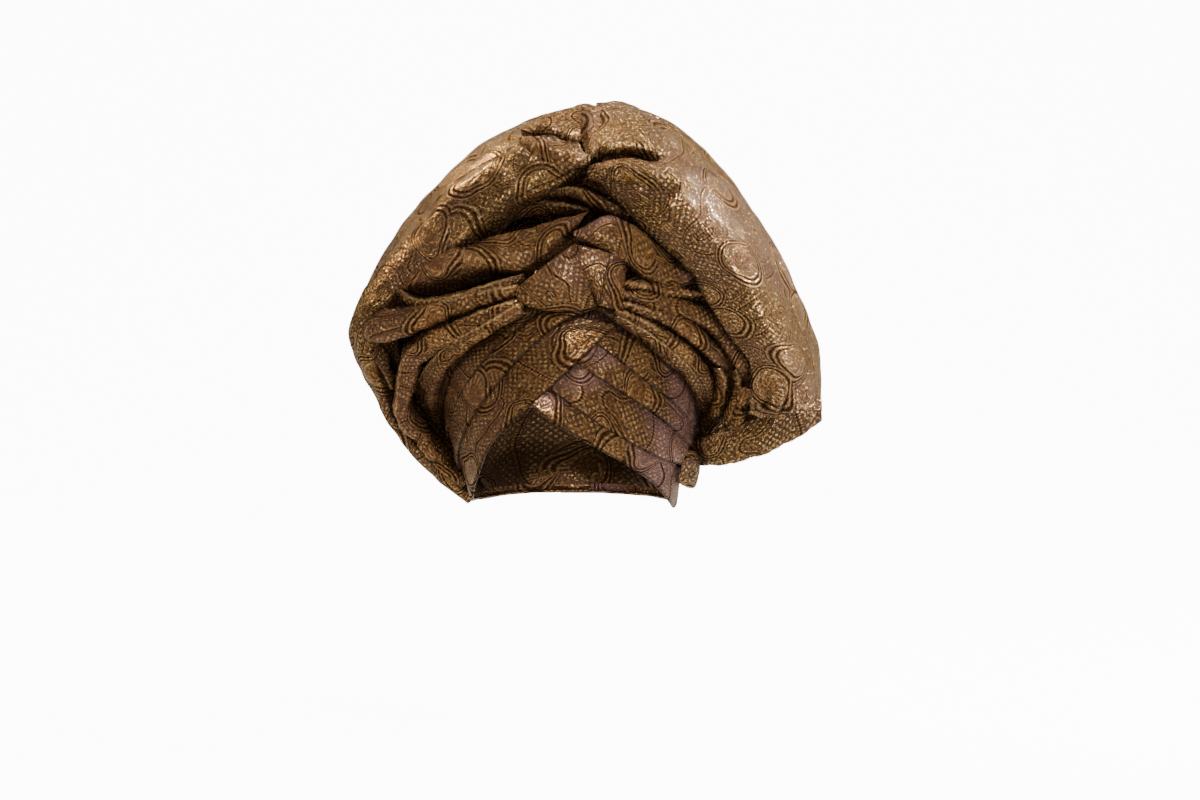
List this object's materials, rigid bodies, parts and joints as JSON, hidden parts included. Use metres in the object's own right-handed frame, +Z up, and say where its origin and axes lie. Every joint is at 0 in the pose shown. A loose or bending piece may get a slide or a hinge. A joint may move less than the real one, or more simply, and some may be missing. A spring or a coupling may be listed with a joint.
{
  "type": "tied gele head tie",
  "caption": "Tied gele head tie of stiff brocade, pleated over the forehead, knotted in front and fanned out round the head, with an open hollow for the head.",
  "frame": {"origin": "the point inside the hollow where the crown of the head bears", "axes": "+Z up, -Y the wearer's front, +X to the viewer's right seen from the front"},
  "size_m": [0.3609, 0.2529, 0.309],
  "materials": {
    "brocade": "bronze and gold jacquard brocade with a metallic thread, satin sheen",
    "brocade_light": "the same brocade where its gold side shows, speckled sheen",
    "brocade_shade": "the same brocade, its dull side, inside the folds"
  },
  "bodies": {
    "root": {"knot_left": "brocade", "knot_middle": "brocade", "knot_right": "brocade", "panel_left": "brocade", "roll_left_1": "brocade", "roll_left_2": "brocade", "roll_left_3": "brocade", "fold_left_back": "brocade_shade", "pocket_left": "brocade_shade", "leaf_right": "brocade", "roll_right": "brocade_shade", "pinch_crease": "brocade_light", "pinch_leaf": "brocade", "pinch_panel": "brocade", "pinch_fold": "brocade", "pinch_lump": "brocade_light", "fan_left_front": "brocade_light", "fan_left_back": "brocade_light", "fan_right_front": "brocade_light", "fold_right_low": "brocade_light", "fan_right_back": "brocade_light", "drape_back": "brocade_light", "pocket_right_1": "brocade", "pocket_right_2": "brocade", "flap_right": "brocade", "ribbon_left_1": "brocade", "ribbon_left_2": "brocade", "ribbon_right_1": "brocade", "ribbon_right_2": "brocade", "ribbon_right_3": "brocade", "ribbon_right_4": "brocade", "ribbon_right_5": "brocade", "band_left_1": "brocade", "band_left_2": "brocade", "band_left_3": "brocade", "band_left_4": "brocade", "band_right_1": "brocade", "band_right_2": "brocade", "band_right_3": "brocade", "band_right_4": "brocade", "band_right_5": "brocade", "band_tuck": "brocade", "nape_knot": "brocade", "crown_cap": "brocade_shade"}
  },
  "joints": []
}
